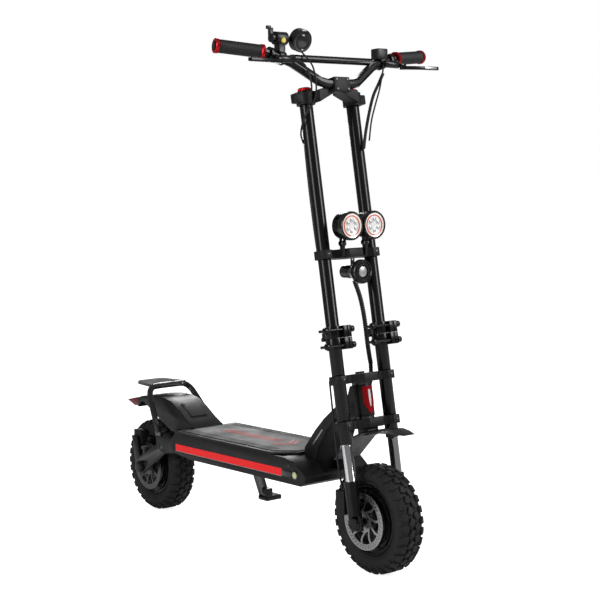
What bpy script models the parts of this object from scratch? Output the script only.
"""Electric kick scooter with twin stem tubes, an inverted fork and a sprung rear arm.

Metres, +Z up, +X forward, +Y to the rider's left.  The origin is on the ground, midway between the wheels.
Fork coordinates are (forward of the tube line, sideways, along the tubes from the axle's height).
"""
import math

import bmesh
import bpy
from mathutils import Matrix, Vector

# Driving dimensions
WHEEL_RADIUS = 0.1397
WHEELBASE = 1.014
TYRE_HALF_WIDTH = 0.040
TREAD_HALF_WIDTH = 0.026
TYRE_SIDES = 32
RIM_RADIUS = 0.089
ROTOR_RADIUS = 0.074
ROTOR_Y = -0.0495
ROTOR_THICKNESS = 0.002
AXLE_RADIUS = 0.007
NUT_RADIUS = 0.019
NUT_FACE_Y = 0.0875

RAKE = math.radians(8.87)
TUBE_FOOT_X = 0.511
TUBE_Y = 0.0775
TUBE_RADIUS = 0.017
STANCHION_RADIUS = 0.0135
BORE_RADIUS = 0.0143
CASTING_RADIUS = 0.0185
CASTING_TOP = 0.1066
OUTER_TUBE_END = 0.199
STANCHION_TOP = 0.330
FORK_TRAVEL = 0.040
LOWER_CROWN = 0.2448
MIDDLE_CROWN = 0.3607
FOLD_LINE = 0.4672
LIGHT_BRACKET = 0.6795
TOP_CROWN = 1.0805
TUBE_TOP = 1.1014
CROWN_THICKNESS = 0.022
TOP_CLAMP_HEIGHT = 0.033
STEER_OFFSET = -0.0075
HEAD_TUBE_RADIUS = 0.026
HEAD_TUBE_LOW = 0.2625
HEAD_TUBE_HIGH = 0.3430
STEERER_RADIUS = 0.012

COLLAR_RADIUS = 0.0213
COLLAR_HALF_HEIGHT = 0.030
FOLD_PIN_X = -0.028
KNUCKLE_RADIUS = 0.0055
BOLT_X = 0.0256
BOLT_OFFSET = 0.020

DECK_HALF_WIDTH = 0.110
DECK_BOTTOM = 0.210
HULL_TOP = 0.278
LID_THICKNESS = 0.0062
MAT_THICKNESS = 0.002
DECK_REAR = -0.260
WALL = 0.008
LIGHT_LOW = 0.228
LIGHT_HIGH = 0.247

SWING_PIVOT = (-0.340, 0.225)
SWING_PIN_RADIUS = 0.006
ARM_Y = 0.085

BAR_RADIUS = 0.0125
GRIP_BAR_RADIUS = 0.0110
GRIP_RADIUS = 0.0168
LAMP_RADIUS = 0.0366
LAMP_Y = 0.0375
LAMP_Z = 0.884
HORN_RADIUS = 0.031
GAP = 0.0003

REAR_AXLE = Vector((-WHEELBASE / 2, 0.0, WHEEL_RADIUS))
FRONT_AXLE = Vector((WHEELBASE / 2, 0.0, WHEEL_RADIUS))
WORLD = Matrix.Identity(4)
FORK = Matrix.Translation((TUBE_FOOT_X, 0.0, WHEEL_RADIUS)) @ Matrix.Rotation(-RAKE, 4, "Y")

LOOKS = {
    "black_metal": ((0.012, 0.012, 0.013), 0.32, 1.0),
    "grey_metal": ((0.075, 0.075, 0.080), 0.50, 1.0),
    "steel": ((0.60, 0.60, 0.60), 0.30, 1.0),
    "chrome": ((0.80, 0.80, 0.80), 0.06, 1.0),
    "black_plastic": ((0.014, 0.014, 0.015), 0.45, 0.0),
    "rubber": ((0.010, 0.010, 0.010), 0.80, 0.0),
    "tyre": ((0.012, 0.012, 0.012), 0.85, 0.0),
    "red": ((0.60, 0.010, 0.015), 0.30, 0.0),
    "lamp": ((0.050, 0.050, 0.055), 0.40, 0.5),
}


def clear_scene():
    for obj in list(bpy.data.objects):
        bpy.data.objects.remove(obj, do_unlink=True)


clear_scene()
PARTS = bpy.data.collections.new("electric_kick_scooter")
TOOLS = bpy.data.collections.new("cutters_and_joined_shapes")
bpy.context.scene.collection.children.link(PARTS)
bpy.context.scene.collection.children.link(TOOLS)


def material(look):
    found = bpy.data.materials.get(look)
    if found:
        return found
    colour, roughness, metallic = LOOKS[look]
    made = bpy.data.materials.new(look)
    made.use_nodes = True
    shader = made.node_tree.nodes["Principled BSDF"]
    shader.inputs["Base Color"].default_value = (*colour, 1.0)
    shader.inputs["Roughness"].default_value = roughness
    shader.inputs["Metallic"].default_value = metallic
    return made


def place(name, data, look, frame=WORLD):
    """Link new data as a part, seen from the given frame."""
    obj = bpy.data.objects.new(name, data)
    obj.matrix_world = frame
    data.materials.append(material(look))
    PARTS.objects.link(obj)
    return obj


def tool(obj):
    """Turn a part into a cutter or a shape to join."""
    PARTS.objects.unlink(obj)
    TOOLS.objects.link(obj)
    obj.hide_render = True
    obj.display_type = "WIRE"
    return obj


def boolean(obj, others, operation):
    for other in others:
        tool(other)
        step = obj.modifiers.new(operation.lower(), "BOOLEAN")
        step.operation = operation
        step.solver = "EXACT"
        step.object = other
    return obj


def join(obj, *others):
    return boolean(obj, others, "UNION")


def cut(obj, *others):
    return boolean(obj, others, "DIFFERENCE")


def box(name, look, low, high, frame=WORLD, bevel=0.0):
    mesh = bpy.data.meshes.new(name)
    shape = bmesh.new()
    size = Vector(high) - Vector(low)
    middle = (Vector(high) + Vector(low)) / 2
    bmesh.ops.create_cube(shape, size=1.0, matrix=Matrix.Translation(middle) @ Matrix.Diagonal((*size, 1.0)))
    shape.to_mesh(mesh)
    shape.free()
    obj = place(name, mesh, look, frame)
    if bevel:
        rounding = obj.modifiers.new("rounding", "BEVEL")
        rounding.width = bevel
        rounding.segments = 2
    return obj


def rod(name, look, radius, start, end, frame=WORLD, sides=16, end_radius=None):
    """A straight round bar, or a cone when the end radius differs."""
    start = Vector(start)
    end = Vector(end)
    mesh = bpy.data.meshes.new(name)
    shape = bmesh.new()
    turn = (end - start).to_track_quat("Z", "X").to_matrix().to_4x4()
    bmesh.ops.create_cone(
        shape, cap_ends=True, segments=sides, radius1=radius,
        radius2=radius if end_radius is None else end_radius, depth=(end - start).length,
        matrix=Matrix.Translation((start + end) / 2) @ turn)
    shape.to_mesh(mesh)
    shape.free()
    mesh.shade_smooth()
    mesh.set_sharp_from_angle(angle=math.radians(40))
    return place(name, mesh, look, frame)


def turned(name, look, profile, frame, sides):
    """Turn a closed profile of (radius, height) about the frame's Z axis."""
    mesh = bpy.data.meshes.new(name)
    count = len(profile)
    edges = [(i, (i + 1) % count) for i in range(count)]
    mesh.from_pydata([(radius, 0.0, height) for radius, height in profile], edges, [])
    obj = place(name, mesh, look, frame)
    screw = obj.modifiers.new("turn", "SCREW")
    screw.steps = sides
    screw.render_steps = sides
    screw.use_merge_vertices = True
    screw.merge_threshold = 0.00001
    return obj


def plate(name, look, outline, low, high, frame=WORLD, upright=True):
    """Extrude a flat outline.  Upright: (x, z) points across Y.  Otherwise: (x, y) points along Z."""
    curve = bpy.data.curves.new(name, "CURVE")
    curve.dimensions = "2D"
    curve.fill_mode = "BOTH"
    curve.extrude = (high - low) / 2
    line = curve.splines.new("POLY")
    line.points.add(len(outline) - 1)
    for point, (across, along) in zip(line.points, outline):
        point.co = (across, along, 0.0, 1.0)
    line.use_cyclic_u = True
    middle = (high + low) / 2
    if upright:
        turn = Matrix.Translation((0.0, middle, 0.0)) @ Matrix.Rotation(math.radians(90), 4, "X")
    else:
        turn = Matrix.Translation((0.0, 0.0, middle))
    return as_mesh(place(name, curve, look, frame @ turn))


def as_mesh(obj):
    """Replace a curve object by its closed mesh."""
    bpy.context.view_layer.update()
    graph = bpy.context.evaluated_depsgraph_get()
    mesh = bpy.data.meshes.new_from_object(obj.evaluated_get(graph))
    name = obj.name
    frame = obj.matrix_world.copy()
    bpy.data.objects.remove(obj, do_unlink=True)
    shape = bmesh.new()
    shape.from_mesh(mesh)
    bmesh.ops.remove_doubles(shape, verts=shape.verts, dist=0.00001)
    bmesh.ops.recalc_face_normals(shape, faces=shape.faces)
    shape.to_mesh(mesh)
    shape.free()
    solid = bpy.data.objects.new(name, mesh)
    solid.matrix_world = frame
    PARTS.objects.link(solid)
    return solid


def smooth_route(points, spacing):
    """Points along a Catmull-Rom curve through the route's own points."""
    route = [Vector(point) for point in points]
    ends = [2 * route[0] - route[1], *route, 2 * route[-1] - route[-2]]
    found = []
    for before, start, end, after in zip(ends, ends[1:], ends[2:], ends[3:]):
        steps = max(1, round((end - start).length / spacing))
        for step in range(steps):
            t = step / steps
            found.append(0.5 * (2 * start + (end - before) * t
                                + (2 * before - 5 * start + 4 * end - after) * t ** 2
                                + (3 * start - before - 3 * end + after) * t ** 3))
    return [*found, route[-1]]


def tube(name, look, points, radius, frame=WORLD, sides_step=3, spacing=None, scales=None):
    """A round tube along the points, with closed ends."""
    if spacing:
        points = smooth_route(points, spacing)
    curve = bpy.data.curves.new(name, "CURVE")
    curve.dimensions = "3D"
    curve.bevel_depth = radius
    curve.bevel_resolution = sides_step
    curve.use_fill_caps = True
    line = curve.splines.new("POLY")
    line.points.add(len(points) - 1)
    for index, (point, at) in enumerate(zip(line.points, points)):
        point.co = (*at, 1.0)
        point.radius = scales[index] if scales else 1.0
    return as_mesh(place(name, curve, look, frame))


def pivot(name, at, *moving):
    """An empty on a joint's axis that carries the moving pieces."""
    empty = bpy.data.objects.new(name, None)
    empty.location = at
    PARTS.objects.link(empty)
    for obj in moving:
        obj.parent = empty
        obj.matrix_parent_inverse = Matrix.Translation(at).inverted()


def across(at, facing="Y"):
    """A frame at a point whose Z axis lies along the facing axis."""
    turns = {"Y": Matrix.Rotation(math.radians(-90), 4, "X"), "X": Matrix.Rotation(math.radians(90), 4, "Y")}
    return Matrix.Translation(at) @ turns[facing]


def mirrored(half):
    """Close an outline given for positive Y by its mirror image."""
    return half + [(x, -y) for x, y in reversed(half)]


def wheel(end, axle):
    """Tyre, hub motor with its brake boss, rotor and axle with two nuts."""
    frame = across(axle) @ Matrix.Rotation(math.pi / TYRE_SIDES, 4, "Z")
    tread = WHEEL_RADIUS / math.cos(math.pi / TYRE_SIDES)
    side = [(0.089, 0.027), (0.100, 0.036), (0.114, TYRE_HALF_WIDTH), (0.127, 0.0385), (0.134, 0.034)]
    profile = [*side, (tread, TREAD_HALF_WIDTH), (tread, -TREAD_HALF_WIDTH), *[(r, -y) for r, y in reversed(side)]]
    tyre = turned(f"{end}_tyre", "tyre", profile, frame, TYRE_SIDES)
    rim = RIM_RADIUS - GAP
    boss = -ROTOR_Y - ROTOR_THICKNESS / 2 - GAP
    hub_profile = [
        (rim, 0.030), (rim, -0.030), (0.078, -0.030), (0.070, -0.034), (0.024, -0.036), (0.022, -boss),
        (AXLE_RADIUS + GAP, -boss), (AXLE_RADIUS + GAP, 0.038), (0.024, 0.038), (0.070, 0.034), (0.078, 0.030)]
    hub = turned(f"{end}_hub_motor", "black_metal", hub_profile, frame, TYRE_SIDES)
    low = ROTOR_Y - ROTOR_THICKNESS / 2
    high = ROTOR_Y + ROTOR_THICKNESS / 2
    rotor_profile = [(ROTOR_RADIUS, high), (ROTOR_RADIUS, low), (0.0125, low), (0.0125, high)]
    rotor = turned(f"{end}_rotor", "steel", rotor_profile, frame, 48)
    pivot(f"{end}_wheel_centre", axle, tyre, hub, rotor)
    bar = rod(f"{end}_axle", "black_metal", AXLE_RADIUS, axle - Vector((0, NUT_FACE_Y, 0)),
              axle + Vector((0, NUT_FACE_Y, 0)), sides=16)
    for way in (-1, 1):
        inner = axle + Vector((0, way * 0.0785, 0))
        outer = axle + Vector((0, way * NUT_FACE_Y, 0))
        join(bar, rod(f"{end}_nut_{way}", "black_metal", NUT_RADIUS, inner, outer, sides=20, end_radius=0.016))


def calliper(name, low, high, axle):
    body = box(name, "grey_metal", low, high, bevel=0.003)
    slot = rod(f"{name}_slot", "steel", ROTOR_RADIUS + 0.002, axle + Vector((0, ROTOR_Y - 0.0025, 0)),
               axle + Vector((0, ROTOR_Y + 0.0025, 0)), sides=48)
    return cut(body, slot)


def fork_leg(side, y):
    """Bright sliding tube with its bottom casting, which holds the axle."""
    leg = rod(f"fork_lower_{side}", "chrome", STANCHION_RADIUS, (0, y, 0.09), (0, y, STANCHION_TOP), FORK, sides=28)
    casting = rod(f"casting_{side}", "black_metal", CASTING_RADIUS, (0, y, 0.020), (0, y, CASTING_TOP), FORK)
    way = math.copysign(1, y)
    lug_low = (-0.022, min(way * 0.066, way * 0.078), -0.021)
    lug_high = (0.016, max(way * 0.066, way * 0.078), 0.045)
    lug = box(f"lug_{side}", "black_metal", lug_low, lug_high, FORK, bevel=0.004)
    join(leg, casting, lug)
    hole = rod(f"axle_hole_{side}", "steel", AXLE_RADIUS + GAP, FRONT_AXLE + Vector((0, way * 0.05, 0)),
               FRONT_AXLE + Vector((0, way * 0.11, 0)))
    cut(leg, hole)


def clamp_collar(body, side, y, upper):
    """Half of a folding clamp: collar, split block, knuckles of the fold pin and the bolt's bore."""
    way = 1 if upper else -1
    near = FOLD_LINE + way * GAP
    far = FOLD_LINE + way * COLLAR_HALF_HEIGHT
    low = min(near, far)
    high = max(near, far)
    tag = f"{side}_{'upper' if upper else 'lower'}"
    pieces = [
        rod(f"collar_{tag}", "grey_metal", COLLAR_RADIUS, (0, y, low), (0, y, high), FORK, sides=24),
        box(f"block_{tag}", "grey_metal", (-0.004, y + 0.010, low), (0.031, y + 0.034, high), FORK),
    ]
    web_high = near + way * 0.016
    spans = ((-0.015, -0.0065), (0.0065, 0.015)) if upper else ((-0.006, 0.006),)
    for number, (start, end) in enumerate(spans):
        pieces.append(rod(f"knuckle_{tag}_{number}", "grey_metal", KNUCKLE_RADIUS, (FOLD_PIN_X, y + start, FOLD_LINE),
                          (FOLD_PIN_X, y + end, FOLD_LINE), FORK))
        pieces.append(box(f"web_{tag}_{number}", "grey_metal", (FOLD_PIN_X, y + start, min(near, web_high)),
                          (-0.012, y + end, max(near, web_high)), FORK))
    join(body, *pieces)
    slit = box(f"slit_{tag}", "steel", (0.008, y + 0.0225, low - 0.01), (0.04, y + 0.0250, high + 0.01), FORK)
    bolt_z = FOLD_LINE + way * BOLT_OFFSET
    bore = rod(f"bolt_bore_{tag}", "steel", 0.0040, (BOLT_X, y - 0.06, bolt_z), (BOLT_X, y + 0.06, bolt_z), FORK, sides=12)
    cut(body, slit, bore)
    for number, (start, end) in enumerate(((-0.006, 0.006),) if upper else ((-0.015, -0.0065), (0.0065, 0.015))):
        relief = rod(f"relief_{tag}_{number}", "steel", KNUCKLE_RADIUS + 0.0005,
                     (FOLD_PIN_X, y + start - 0.0003, FOLD_LINE),
                     (FOLD_PIN_X, y + end + 0.0003, FOLD_LINE), FORK)
        cut(body, relief)


def clamp_bolt(side, y, upper):
    """Quick-release bolt across the front of a clamp, with a cam lever and a knob."""
    level = "upper" if upper else "lower"
    z = FOLD_LINE + (BOLT_OFFSET if upper else -BOLT_OFFSET)
    bolt = rod(f"clamp_bolt_{level}_{side}", "steel", 0.0034, (BOLT_X, y - 0.049, z), (BOLT_X, y + 0.0430, z), FORK,
               sides=12)
    knob = rod(f"knob_{level}_{side}", "black_metal", 0.008, (BOLT_X, y + 0.0345, z), (BOLT_X, y + 0.0440, z), FORK)
    cam = rod(f"cam_{level}_{side}", "black_metal", 0.008, (BOLT_X, y - 0.0500, z), (BOLT_X, y - 0.0400, z), FORK)
    lever = box(f"paddle_{level}_{side}", "black_metal", (BOLT_X - 0.024, y - 0.0485, z - 0.0035),
                (BOLT_X, y - 0.0415, z + 0.0035), FORK)
    join(bolt, knob, cam, lever)
    pivot(f"clamp_axis_{level}_{side}", FORK @ Vector((BOLT_X, y, z)), bolt)


def upper_tubes(side, y):
    outer = rod(f"fork_outer_{side}", "black_metal", TUBE_RADIUS, (0, y, OUTER_TUBE_END), (0, y, FOLD_LINE - GAP),
                FORK, sides=32)
    clamp_collar(outer, side, y, upper=False)
    bore = rod(f"fork_bore_{side}", "steel", BORE_RADIUS, (0, y, OUTER_TUBE_END - 0.01),
               (0, y, STANCHION_TOP + FORK_TRAVEL + 0.006), FORK)
    cut(outer, bore)
    stem = rod(f"stem_tube_{side}", "black_metal", TUBE_RADIUS, (0, y, FOLD_LINE + GAP), (0, y, TUBE_TOP - 0.005),
               FORK, sides=28)
    cap = rod(f"tube_cap_{side}", "red", TUBE_RADIUS, (0, y, TUBE_TOP - 0.006), (0, y, TUBE_TOP), FORK, sides=20,
              end_radius=0.0155)
    join(stem, cap)
    clamp_collar(stem, side, y, upper=True)
    clamp_bolt(side, y, upper=True)
    clamp_bolt(side, y, upper=False)


def crown_outline():
    """Bar that clamps both tubes and bulges forward in the middle."""
    return mirrored([
        (-0.034, 0.000), (-0.034, 0.020), (-0.018, 0.046), (-0.0235, 0.066), (-0.0235, 0.089), (-0.014, 0.098),
        (0.014, 0.098), (0.0235, 0.089), (0.0235, 0.070), (0.011, 0.055), (0.014, 0.044), (0.036, 0.022),
        (0.036, 0.000)])


def crown(name, level, steerer_hole):
    low = level - CROWN_THICKNESS / 2
    high = level + CROWN_THICKNESS / 2
    outline = crown_outline()
    outline = [point for index, point in enumerate(outline) if point not in outline[:index]]
    body = plate(name, "grey_metal", outline, low, high, FORK, upright=False)
    for y in (-TUBE_Y, TUBE_Y):
        cut(body, rod(f"{name}_hole", "steel", TUBE_RADIUS + GAP, (0, y, low - 0.01), (0, y, high + 0.01), FORK,
                      sides=20))
    if steerer_hole:
        cut(body, rod(f"{name}_steerer_hole", "steel", STEERER_RADIUS + GAP, (STEER_OFFSET, 0, low - 0.01),
                      (STEER_OFFSET, 0, high + 0.01), FORK))
    return body


def crowns():
    lower = crown("lower_crown", LOWER_CROWN, steerer_hole=False)
    steerer = rod("steerer", "steel", STEERER_RADIUS, (STEER_OFFSET, 0, LOWER_CROWN),
                  (STEER_OFFSET, 0, MIDDLE_CROWN + 0.016), FORK)
    join(lower, steerer)
    crown("middle_crown", MIDDLE_CROWN, steerer_hole=True)
    bracket = crown("light_bracket", LIGHT_BRACKET, steerer_hole=False)
    for y in (-LAMP_Y, LAMP_Y):
        post = box("lamp_post", "grey_metal", (0.426, y - 0.004, 0.806), (0.438, y + 0.004, 0.8395))
        eye = rod("lamp_eye", "grey_metal", 0.007, (0.432, y - 0.004, 0.8395), (0.432, y + 0.004, 0.8395))
        join(bracket, post, eye)
    for name, seat in (("headset_bearing_lower", LOWER_CROWN + CROWN_THICKNESS / 2 + GAP),
                       ("headset_bearing_upper", HEAD_TUBE_HIGH + GAP)):
        top = seat + 0.0058
        ring = [(0.024, top), (0.024, seat), (STEERER_RADIUS + GAP, seat), (STEERER_RADIUS + GAP, top)]
        turned(name, "steel", ring, FORK @ Matrix.Translation((STEER_OFFSET, 0, 0)), 24)


def top_crown():
    """Two clamps on the tubes, arms that rise to the middle, and the handlebar's clamp."""
    low = TOP_CROWN - TOP_CLAMP_HEIGHT / 2
    high = TOP_CROWN + TOP_CLAMP_HEIGHT / 2
    body = box("top_crown", "grey_metal", (0.029, -0.026, 1.088), (0.062, 0.026, 1.126), FORK, bevel=0.003)
    for way in (-1, 1):
        y = way * TUBE_Y
        collar = rod(f"top_collar_{way}", "grey_metal", 0.0245, (0, y, low), (0, y, high), FORK, sides=24)
        ear = box(f"top_ear_{way}", "grey_metal", (-0.011, min(way * 0.095, way * 0.117), low + 0.004),
                  (0.011, max(way * 0.095, way * 0.117), high - 0.004), FORK, bevel=0.003)
        inner = way * 0.012
        outer = way * 0.064
        arm = plate(f"top_arm_{way}", "grey_metal",
                    [(outer, low + 0.001), (outer, high - 0.001), (inner, 1.112), (inner, 1.090)],
                    -0.044, -0.004, FORK @ Matrix.Rotation(math.radians(90), 4, "Z"))
        join(body, collar, ear, arm)
        cut(body, rod(f"top_hole_{way}", "steel", TUBE_RADIUS + GAP, (0, y, low - 0.02), (0, y, high + 0.02), FORK,
                      sides=20))
    cut(body, rod("bar_hole", "steel", BAR_RADIUS + 0.0006, BAR_MIDDLE + Vector((0, -0.08, 0)),
                  BAR_MIDDLE + Vector((0, 0.08, 0)), sides=24))


BAR_MIDDLE = Vector((0.385, 0.0, 1.2440))
BAR_HALF = [
    (0.385, 0.040, 1.2440), (0.3835, 0.062, 1.2490), (0.373, 0.100, 1.2735), (0.3635, 0.134, 1.2945),
    (0.3605, 0.160, 1.3035), (0.3590, 0.190, 1.3110), (0.3590, 0.2145, 1.3175)]
GRIP_START = Vector((0.3590, 0.2150, 1.3177))
GRIP_END = Vector((0.3257, 0.3450, 1.3310))


def on_side(point, way):
    return Vector((point[0], way * point[1], point[2]))


def handlebar():
    half = [Vector(point) for point in BAR_HALF] + [GRIP_START, GRIP_END]
    route = [on_side(point, -1) for point in reversed(half)] + half
    scales = [GRIP_BAR_RADIUS / BAR_RADIUS if abs(point.y) > 0.205 else 1.0 for point in route]
    bar = tube("handlebar", "black_metal", route, BAR_RADIUS, sides_step=3, scales=scales)
    brace = rod("cross_brace", "black_metal", 0.0095, (0.3605, -0.132, 1.3060), (0.3605, 0.132, 1.3060))
    join(bar, brace)
    along = (GRIP_END - GRIP_START).normalized()
    for side, way in (("right", -1), ("left", 1)):
        start = on_side(GRIP_START + along * 0.002, way)
        end = on_side(GRIP_END - along * 0.001, way)
        grip = rod(f"grip_{side}", "rubber", GRIP_RADIUS, start, end, sides=20)
        ways = (end - start).normalized()
        rings = [rod(f"grip_ring_{side}_{n}", "red", 0.0188, at, at + ways * 0.010, sides=20)
                 for n, at in enumerate((start, end - ways * 0.010))]
        join(grip, *rings)
        cut(grip, rod(f"grip_bore_{side}", "steel", GRIP_BAR_RADIUS + 0.0006, start - ways * 0.01, end + ways * 0.01,
                      sides=20))


def bar_point(y):
    """Point of the bar's centre line at the given distance from the middle."""
    for start, end in zip(BAR_HALF, BAR_HALF[1:]):
        if start[1] <= y <= end[1]:
            share = (y - start[1]) / (end[1] - start[1])
            return Vector(start).lerp(Vector(end), share)
    return Vector(BAR_HALF[-1])


def bar_clamp(name, look, y, way, half_width, outer=0.0175):
    """Ring around the bar, before its bore is cut."""
    middle = bar_point(y)
    along = (bar_point(y + 0.01) - bar_point(y - 0.01)).normalized()
    start = on_side(middle - along * half_width, way)
    end = on_side(middle + along * half_width, way)
    return rod(name, look, outer, start, end, sides=20)


def bar_bore(name, y, way, half_width):
    middle = bar_point(y)
    along = (bar_point(y + 0.01) - bar_point(y - 0.01)).normalized()
    return rod(name, "steel", BAR_RADIUS + 0.0010, on_side(middle - along * (half_width + 0.004), way),
               on_side(middle + along * (half_width + 0.004), way), sides=20)


def brakes():
    """Brake master cylinders on the bar and their levers."""
    for side, way in (("right", -1), ("left", 1)):
        master = bar_clamp(f"brake_master_{side}", "black_metal", 0.199, way, 0.0055)
        body = rod(f"master_body_{side}", "black_metal", 0.0095, on_side((0.392, 0.150, 1.300), way),
                   on_side((0.3955, 0.1960, 1.2985), way), sides=14)
        strut = box(f"master_strut_{side}", "black_metal", (0.370, min(way * 0.1945, way * 0.2035), 1.296),
                    (0.393, max(way * 0.1945, way * 0.2035), 1.310))
        tongue = box(f"master_tongue_{side}", "black_metal", (0.392, min(way * 0.196, way * 0.2120), 1.2955),
                     (0.4100, max(way * 0.196, way * 0.2120), 1.3005))
        join(master, body, strut, tongue)
        cut(master, bar_bore(f"master_bore_{side}", 0.199, way, 0.0055))
        outline = [(0.3960, 0.2000), (0.4080, 0.1970), (0.4150, 0.2060), (0.4280, 0.2500), (0.4310, 0.3080),
                   (0.4260, 0.3150), (0.4200, 0.3080), (0.4160, 0.2560), (0.4020, 0.2160), (0.3950, 0.2060)]
        lever = plate(f"brake_lever_{side}", "black_metal", [(x, way * y) for x, y in outline], 1.2860, 1.2950,
                      upright=False)
        pivot(f"brake_lever_{side}_axis", (0.403, way * 0.205, 1.2905), lever)


def throttle_and_display():
    housing = bar_clamp("throttle_housing", "black_plastic", 0.168, -1, 0.0095)
    neck = box("throttle_neck", "black_plastic", (0.350, -0.1775, 1.312), (0.371, -0.1585, 1.350))
    drum = rod("throttle_drum", "black_plastic", 0.0165, (0.360, -0.1840, 1.3530), (0.360, -0.1500, 1.3530), sides=24)
    join(housing, neck, drum)
    cut(housing, bar_bore("throttle_bore", 0.168, -1, 0.0095))
    trigger = rod("throttle_trigger", "black_plastic", 0.0110, (0.360, -0.1960, 1.3530), (0.360, -0.1845, 1.3530))
    blade = box("trigger_blade", "black_plastic", (0.3565, -0.2020, 1.3560), (0.3635, -0.1880, 1.3780), bevel=0.002)
    hook = box("trigger_hook", "black_plastic", (0.3560, -0.2080, 1.3740), (0.3640, -0.1950, 1.3830), bevel=0.002)
    join(trigger, blade, hook)
    pivot("throttle_axis", (0.360, -0.190, 1.3530), trigger)
    facing = Vector((-0.95, 0.0, 0.30))
    middle = Vector((0.3725, -0.113, 1.3500))
    display = rod("display_unit", "black_plastic", 0.0290, middle - facing * 0.011, middle + facing * 0.009, sides=28)
    arm = box("display_arm", "black_plastic", (0.3600, -0.1490, 1.3450), (0.3720, -0.1300, 1.3560))
    join(display, arm)


def switch_box():
    housing = bar_clamp("switch_box", "black_plastic", 0.165, 1, 0.0080)
    body = box("switch_body", "black_plastic", (0.3455, 0.1450, 1.3130), (0.3755, 0.1800, 1.3420), bevel=0.003)
    join(housing, body)
    well = rod("button_well", "steel", 0.0048, (0.340, 0.162, 1.3270), (0.3505, 0.162, 1.3270))
    cut(housing, bar_bore("switch_bore", 0.165, 1, 0.0200), well)
    button = rod("horn_button", "red", 0.0044, (0.3420, 0.162, 1.3270), (0.3482, 0.162, 1.3270))
    pivot("horn_button_axis", (0.3455, 0.162, 1.3270), button)


def lamps_and_horn():
    for side, way in (("right", -1), ("left", 1)):
        y = way * LAMP_Y
        lamp = rod(f"headlamp_{side}", "lamp", 0.0350, (0.4450, y, LAMP_Z), (0.4735, y, LAMP_Z), sides=28)
        rim = rod(f"lamp_rim_{side}", "lamp", LAMP_RADIUS, (0.4560, y, LAMP_Z), (0.4700, y, LAMP_Z), sides=28)
        back = rod(f"lamp_back_{side}", "lamp", 0.0330, (0.4265, y, LAMP_Z), (0.4460, y, LAMP_Z), sides=28)
        pieces = [rim, back]
        for sign in (-1, 1):
            low = y + min(sign * 0.0045, sign * 0.0080)
            high = y + max(sign * 0.0045, sign * 0.0080)
            pieces.append(rod(f"lamp_ear_{side}_{sign}", "lamp", 0.0070, (0.432, low, 0.8395), (0.432, high, 0.8395)))
            pieces.append(box(f"lamp_arm_{side}_{sign}", "lamp", (0.428, low, 0.8400), (0.438, high, 0.8560)))
        join(lamp, *pieces)
        dish = rod(f"lamp_dish_{side}", "chrome", 0.0300, (0.4680, y, LAMP_Z), (0.4800, y, LAMP_Z), sides=28)
        cut(lamp, dish)
        pivot(f"headlamp_{side}_axis", (0.432, y, 0.8395), lamp)
    horn = rod("horn", "black_plastic", HORN_RADIUS, (0.4520, 0, 0.7670), (0.4680, 0, 0.7670), sides=28)
    cone = rod("horn_cone", "black_plastic", 0.0160, (0.4250, 0, 0.7640), (0.4530, 0, 0.7670), sides=20,
               end_radius=0.0260)
    can = rod("horn_can", "black_plastic", 0.0170, (0.3930, 0, 0.7600), (0.4260, 0, 0.7640), sides=20)
    strap = box("horn_strap", "steel", (0.4240, -0.006, 0.7700), (0.4280, 0.006, 0.8000))
    join(horn, cone, can, strap)


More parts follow.
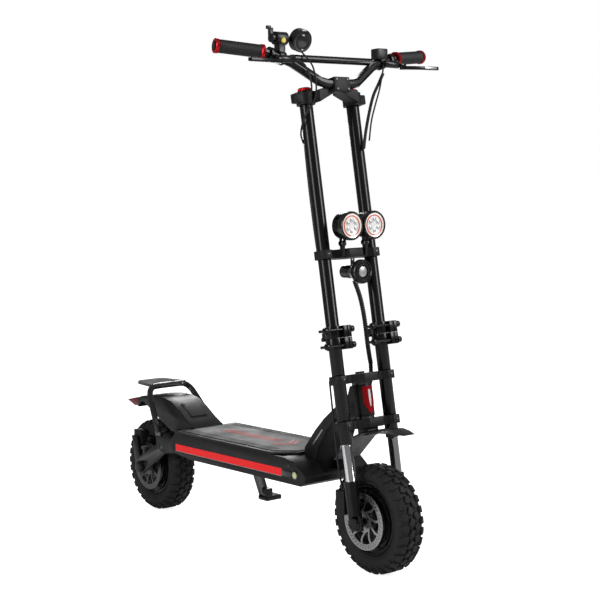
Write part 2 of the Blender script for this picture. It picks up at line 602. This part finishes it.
def deck():
    """Hollow hull with a nose, its lid and mat, the batteries and the side lights."""
    outline = [
        (DECK_REAR, HULL_TOP), (-0.298, 0.240), (-0.286, 0.222), (-0.180, DECK_BOTTOM), (0.330, DECK_BOTTOM),
        (0.347, 0.219), (0.351, 0.236), (0.305, 0.270), (0.262, HULL_TOP)]
    hull = plate("deck_hull", "grey_metal", outline, -DECK_HALF_WIDTH, DECK_HALF_WIDTH)
    room = box("hull_room", "steel", (DECK_REAR + 0.014, -0.102, DECK_BOTTOM + 0.006), (0.245, 0.102, 0.30))
    slot = box("neck_slot", "steel", (0.2605, -0.0405, 0.2365), (0.3450, 0.0405, 0.30))
    pieces = []
    for way in (-1, 1):
        bracket = plate(f"rear_bracket_{way}", "grey_metal",
                        [(-0.280, 0.255), (-0.280, 0.214), (-0.335, 0.209), (-0.362, 0.222), (-0.372, 0.258)],
                        min(way * 0.0955, way * 0.1055), max(way * 0.0955, way * 0.1055))
        pieces.append(bracket)
    stand_lug = box("stand_lug", "grey_metal", (-0.160, 0.074, 0.186), (-0.130, 0.080, 0.214))
    join(hull, *pieces, stand_lug)
    cut(hull, room, slot)
    for way in (-1, 1):
        low = (-0.2570, min(way * 0.1075, way * 0.12), LIGHT_LOW - GAP)
        high = (0.2510, max(way * 0.1075, way * 0.12), LIGHT_HIGH + GAP)
        cut(hull, box(f"light_groove_{way}", "steel", low, high))
        side = "left" if way > 0 else "right"
        low = (-0.2560, min(way * 0.1078, way * 0.1100), LIGHT_LOW)
        high = (0.2500, max(way * 0.1078, way * 0.1100), LIGHT_HIGH)
        box(f"side_light_{side}", "red", low, high)
    pin_hole = rod("pin_hole", "steel", SWING_PIN_RADIUS + GAP, (SWING_PIVOT[0], -0.12, SWING_PIVOT[1]),
                   (SWING_PIVOT[0], 0.12, SWING_PIVOT[1]), sides=20)
    cut(hull, pin_hole)
    corner = [(DECK_REAR, DECK_HALF_WIDTH), (0.205, DECK_HALF_WIDTH), (0.2600, 0.0570)]
    lid_low = HULL_TOP + GAP
    lid_high = lid_low + LID_THICKNESS
    plate("deck_lid", "grey_metal", mirrored(corner), lid_low, lid_high, upright=False)
    mat = [(-0.232, 0.098), (0.198, 0.098), (0.2480, 0.0520)]
    plate("deck_grip_mat", "rubber", mirrored(mat), lid_high + GAP, lid_high + GAP + MAT_THICKNESS, upright=False)
    floor = DECK_BOTTOM + 0.006 + GAP
    box("battery_pack", "black_plastic", (-0.160, -0.098, floor), (0.240, 0.098, 0.272))
    rod("swing_pivot_pin", "steel", SWING_PIN_RADIUS, (SWING_PIVOT[0], -0.1055, SWING_PIVOT[1]),
        (SWING_PIVOT[0], 0.1055, SWING_PIVOT[1]), sides=20)


def neck():
    """Swan neck in one piece with the head tube."""
    outline = [
        (0.2625, 0.2370), (0.2625, 0.2960), (0.3075, 0.3475), (0.3465, 0.3835), (0.3815, 0.4095), (0.4080, 0.4290),
        (0.4240, 0.4500), (0.4330, 0.4740), (0.4520, 0.4740), (0.4600, 0.3960), (0.4400, 0.3920), (0.3870, 0.3855),
        (0.3535, 0.3530), (0.3190, 0.3040), (0.3050, 0.2700), (0.2980, 0.2370)]
    body = plate("neck_frame", "black_metal", outline, -0.040, 0.040)
    head_foot = FORK @ Vector((STEER_OFFSET, 0, HEAD_TUBE_LOW))
    for way in (-1, 1):
        trim = box(f"neck_trim_{way}", "steel", (0.4050, min(way * 0.024, way * 0.06), 0.370),
                   (0.4800, max(way * 0.024, way * 0.06), 0.480))
        cut(body, trim)
    head = rod("head_tube", "black_metal", HEAD_TUBE_RADIUS, head_foot,
               FORK @ Vector((STEER_OFFSET, 0, HEAD_TUBE_HIGH)), sides=24)
    join(body, head)
    over = box("neck_over", "steel", (-0.10, -0.06, HEAD_TUBE_HIGH), (0.05, 0.06, HEAD_TUBE_HIGH + 0.05), FORK)
    under = box("neck_under", "steel", (-0.09, -0.06, HEAD_TUBE_LOW - 0.05), (0.05, 0.06, HEAD_TUBE_LOW), FORK)
    bore = rod("head_bore", "steel", 0.0165, (STEER_OFFSET, 0, HEAD_TUBE_LOW - 0.02),
               (STEER_OFFSET, 0, HEAD_TUBE_HIGH + 0.02), FORK, sides=20)
    cut(body, over, under, bore)


def front_fender():
    top = [(0.629, 0.3700), (0.595, 0.3735), (0.560, 0.3730), (0.500, 0.3660), (0.450, 0.3440), (0.410, 0.3050),
           (0.386, 0.2820)]
    under = [(0.388, 0.2795), (0.412, 0.3020), (0.452, 0.3405), (0.501, 0.3625), (0.560, 0.3695), (0.595, 0.3700),
             (0.628, 0.3680)]
    body = plate("front_fender", "black_plastic", top + under, -0.045, 0.045)
    for way in (-1, 1):
        beak = plate(f"fender_beak_{way}", "steel", [(0.555, way * 0.0460), (0.660, way * 0.0060), (0.660, way * 0.06)],
                     0.34, 0.40, upright=False)
        cut(body, beak)
    top_face = LOWER_CROWN - CROWN_THICKNESS / 2 - GAP
    pad = box("fender_pad", "black_plastic", (-0.022, -0.018, 0.2140), (0.018, 0.018, top_face), FORK)
    join(body, pad)


def rear_cover():
    outline = [
        (-0.2400, 0.2850), (-0.2450, 0.2900), (-0.2800, 0.3070), (-0.3220, 0.3330), (-0.3620, 0.3530),
        (-0.4000, 0.3610), (-0.4570, 0.3620), (-0.5300, 0.3540), (-0.5560, 0.3460), (-0.5560, 0.3200),
        (-0.5480, 0.3180), (-0.5340, 0.3360), (-0.4600, 0.3460), (-0.4000, 0.3440), (-0.3560, 0.3280),
        (-0.3400, 0.3000), (-0.3360, 0.2740), (-0.2680, 0.2740), (-0.2650, 0.2850)]
    cover = plate("rear_fender", "black_plastic", outline, -0.052, 0.052)
    skirt = [(-0.3300, 0.2640), (-0.3660, 0.2640), (-0.4400, 0.2980), (-0.5250, 0.3400), (-0.4200, 0.3500),
             (-0.3400, 0.3300)]
    for way in (-1, 1):
        join(cover, plate(f"skirt_{way}", "black_plastic", skirt, min(way * 0.0435, way * 0.052),
                          max(way * 0.0435, way * 0.052)))
    wedge = [(-0.5564, 0.3440), (-0.6000, 0.3400), (-0.6440, 0.3300), (-0.6000, 0.3150), (-0.5564, 0.3210)]
    plate("tail_light", "red", wedge, -0.035, 0.035)


def rear_handle():
    """Lifting hoop whose legs stand on the frame's brackets, with a rack plate behind it."""
    leg = [(-0.3560, 0.1005, 0.2650), (-0.3900, 0.0930, 0.3050), (-0.4300, 0.0810, 0.3560),
           (-0.4460, 0.0720, 0.3780), (-0.4550, 0.0560, 0.3890), (-0.4570, 0.0300, 0.3910)]
    route = [on_side(point, 1) for point in leg] + [on_side(point, -1) for point in reversed(leg)]
    hoop = tube("rear_handle", "black_metal", route, 0.0092, sides_step=3, spacing=0.012)
    for way in (-1, 1):
        foot = box(f"handle_foot_{way}", "black_metal", (-0.3690, min(way * 0.0945, way * 0.1065), 0.2584),
                   (-0.3420, max(way * 0.0945, way * 0.1065), 0.2700))
        join(hoop, foot)
    rack = plate("rack_plate", "black_metal", mirrored([(-0.4560, 0.0640), (-0.5500, 0.0500), (-0.5650, 0.0360)]),
                 0.3895, 0.3985, upright=False)
    join(hoop, rack)


def swing_arm():
    pivot_x, pivot_z = SWING_PIVOT
    arm_outline = [
        (-0.326, 0.214), (-0.356, 0.204), (-0.500, 0.118), (-0.524, 0.118), (-0.536, 0.150), (-0.520, 0.166),
        (-0.385, 0.236), (-0.332, 0.238)]
    body = rod("swingarm", "black_metal", 0.0125, (pivot_x, -0.0900, pivot_z), (pivot_x, 0.0900, pivot_z), sides=20)
    for way in (-1, 1):
        arm = plate(f"arm_{way}", "black_metal", arm_outline, min(way * 0.0680, way * 0.0780),
                    max(way * 0.0680, way * 0.0780))
        join(body, arm)
    lug = plate("calliper_lug", "black_metal", [(-0.504, 0.150), (-0.534, 0.150), (-0.552, 0.232), (-0.520, 0.232)],
                -0.0780, -0.0680)
    join(body, lug)
    hole = rod("swing_hole", "steel", SWING_PIN_RADIUS + GAP, (pivot_x, -0.11, pivot_z), (pivot_x, 0.11, pivot_z),
               sides=20)
    axle_hole = rod("rear_axle_hole", "steel", AXLE_RADIUS + GAP, REAR_AXLE + Vector((0, -0.11, 0)),
                    REAR_AXLE + Vector((0, 0.11, 0)))
    cut(body, hole, axle_hole)
    pivot("swing_axis", (pivot_x, 0, pivot_z), body)


def kickstand():
    arm = rod("kickstand_arm", "black_metal", 0.0085, (-0.145, 0.0805, 0.194), (-0.145, 0.0900, 0.194), sides=16)
    leg = plate("stand_leg", "black_metal",
                [(-0.132, 0.1980), (-0.158, 0.1980), (-0.169, 0.1640), (-0.188, 0.0560), (-0.144, 0.0560),
                 (-0.122, 0.1720)], 0.0812, 0.0892)
    lean = Matrix.Translation((0, 0.0805, 0.196)) @ Matrix.Rotation(math.radians(24), 4, "X")
    leg.matrix_world = lean @ Matrix.Translation((0, -0.0805, -0.196)) @ leg.matrix_world
    foot = box("stand_foot", "black_metal", (-0.188, 0.1340, 0.0560), (-0.144, 0.1900, 0.0700), bevel=0.003)
    tab = box("stand_tab", "black_metal", (-0.150, 0.1200, 0.0760), (-0.118, 0.1370, 0.1000), bevel=0.002)
    join(arm, leg, foot, tab)
    pivot("kickstand_axis", (-0.145, 0.085, 0.194), arm)


LEFT_LOOM = [
    (0.4180, 0.012, 0.7420), (0.4220, 0.026, 0.7000), (0.4250, 0.034, 0.6600), (0.4260, 0.040, 0.6200),
    (0.4265, 0.044, 0.5850), (0.4260, 0.050, 0.5500), (0.4225, 0.058, 0.5250)]
NECK_LOOM = [
    (0.4220, 0.0590, 0.5170), (0.4190, 0.0600, 0.4800), (0.4080, 0.0560, 0.4400), (0.3920, 0.0500, 0.4050),
    (0.3700, 0.0490, 0.3700), (0.3530, 0.0490, 0.3350), (0.3420, 0.0475, 0.3000), (0.3360, 0.0460, 0.2680)]
RIGHT_LOOM = [
    (-0.0262, -0.0700, 1.0400), (-0.0262, -0.0740, 0.9500), (-0.0262, -0.0760, 0.8200), (-0.0300, -0.0700, 0.6750),
    (-0.0330, -0.0560, 0.5600), (-0.0340, -0.0500, 0.4900), (-0.0330, -0.0480, 0.4000), (-0.0330, -0.0500, 0.3720)]
HOSE = [
    (-0.0300, -0.0840, 0.3620), (-0.0300, -0.0850, 0.3100), (-0.0320, -0.0850, 0.2400), (-0.0380, -0.0820, 0.1500),
    (-0.0420, -0.0740, 0.0865)]
BAR_LOOM = [
    (0.3870, 0.1500, 1.2740), (0.3960, 0.1280, 1.2500), (0.3900, 0.1120, 1.2150), (0.3860, 0.1000, 1.1700),
    (0.3850, 0.0880, 1.1200), (0.3880, 0.0785, 1.0800)]


def cables():
    tube("left_loom", "rubber", LEFT_LOOM, 0.0065, spacing=0.016)
    tube("neck_loom", "rubber", NECK_LOOM, 0.0060, spacing=0.016)
    tube("right_loom", "rubber", RIGHT_LOOM, 0.0050, FORK, spacing=0.022, sides_step=2)
    tube("front_brake_hose", "rubber", HOSE, 0.0025, FORK, spacing=0.012, sides_step=2)
    tube("bar_loom", "rubber", BAR_LOOM, 0.0045, spacing=0.012, sides_step=2)


def main():
    wheel("front", FRONT_AXLE)
    wheel("rear", REAR_AXLE)
    calliper("front_caliper", (0.4370, -0.0830, 0.1540), (0.4710, -0.0415, 0.2160), FRONT_AXLE)
    calliper("rear_caliper", (-0.5560, -0.0677, 0.2000), (-0.5160, -0.0415, 0.2500), REAR_AXLE)
    for side, way in (("right", -1), ("left", 1)):
        fork_leg(side, way * TUBE_Y)
        upper_tubes(side, way * TUBE_Y)
    crowns()
    top_crown()
    handlebar()
    brakes()
    throttle_and_display()
    switch_box()
    lamps_and_horn()
    deck()
    neck()
    front_fender()
    rear_cover()
    rear_handle()
    swing_arm()
    kickstand()
    cables()


main()
